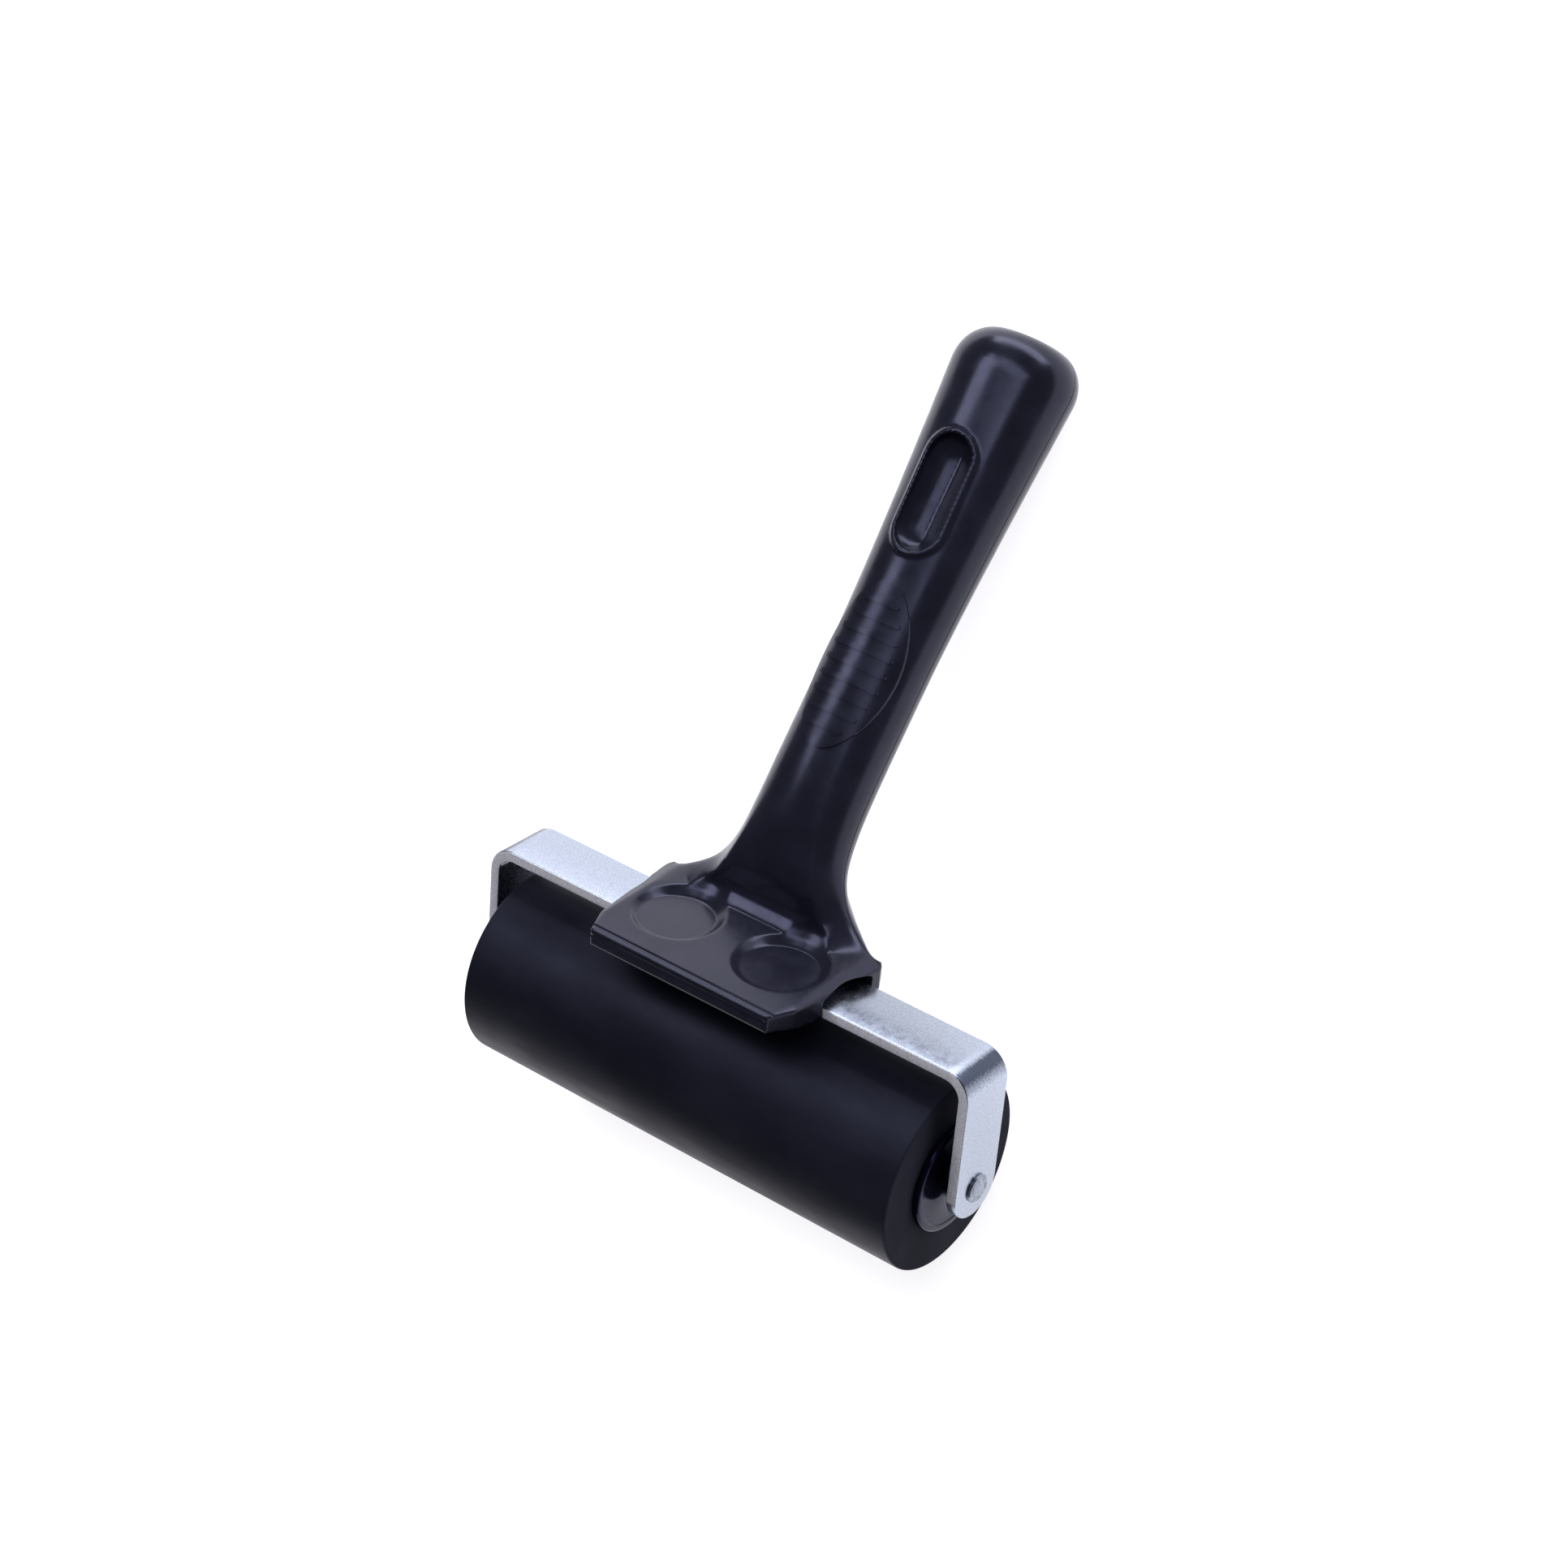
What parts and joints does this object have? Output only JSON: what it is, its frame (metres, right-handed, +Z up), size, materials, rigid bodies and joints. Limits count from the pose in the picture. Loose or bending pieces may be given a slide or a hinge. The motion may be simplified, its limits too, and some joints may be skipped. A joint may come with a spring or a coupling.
{
  "type": "rubber brayer",
  "caption": "Inking roller: a black rubber sleeve on end plugs turning on a fixed axle in a bent zinc-plated yoke, under a two-piece moulded handle that leans back.",
  "frame": {"origin": "centre of the bounding box in X and Y, on the surface the brayer lies on", "axes": "+X along the axle, +Y from the roller towards the handle's butt, +Z up; the brayer lies on its back, roller and butt both on Z = 0, its yoke arms tilted 63.1 degrees from upright"},
  "size_m": [0.1144, 0.1636, 0.0489],
  "materials": {
    "handle_plastic": "semi-gloss moulded near-black with a blue tint",
    "zinc_plated_steel": "bright zinc plate, lightly mottled",
    "axle_steel": "drawn rod, peened ends",
    "black_rubber": "satin ground rubber",
    "core_plastic": "plain extruded tube",
    "plug_plastic": "high-gloss moulded"
  },
  "bodies": {
    "frame": {"handle_front_shell": "handle_plastic", "handle_rear_shell": "handle_plastic", "yoke": "zinc_plated_steel", "axle": "axle_steel"},
    "roller": {"rubber_sleeve": "black_rubber", "core_tube": "core_plastic", "end_plug_left": "plug_plastic", "end_plug_right": "plug_plastic"}
  },
  "joints": [
    {"name": "roller_spin", "type": "hinge", "parent": "frame", "child": "roller", "pos_m": [0, -0.06262, 0.0192], "axis": [1, 0, 0], "continuous": true}
  ]
}
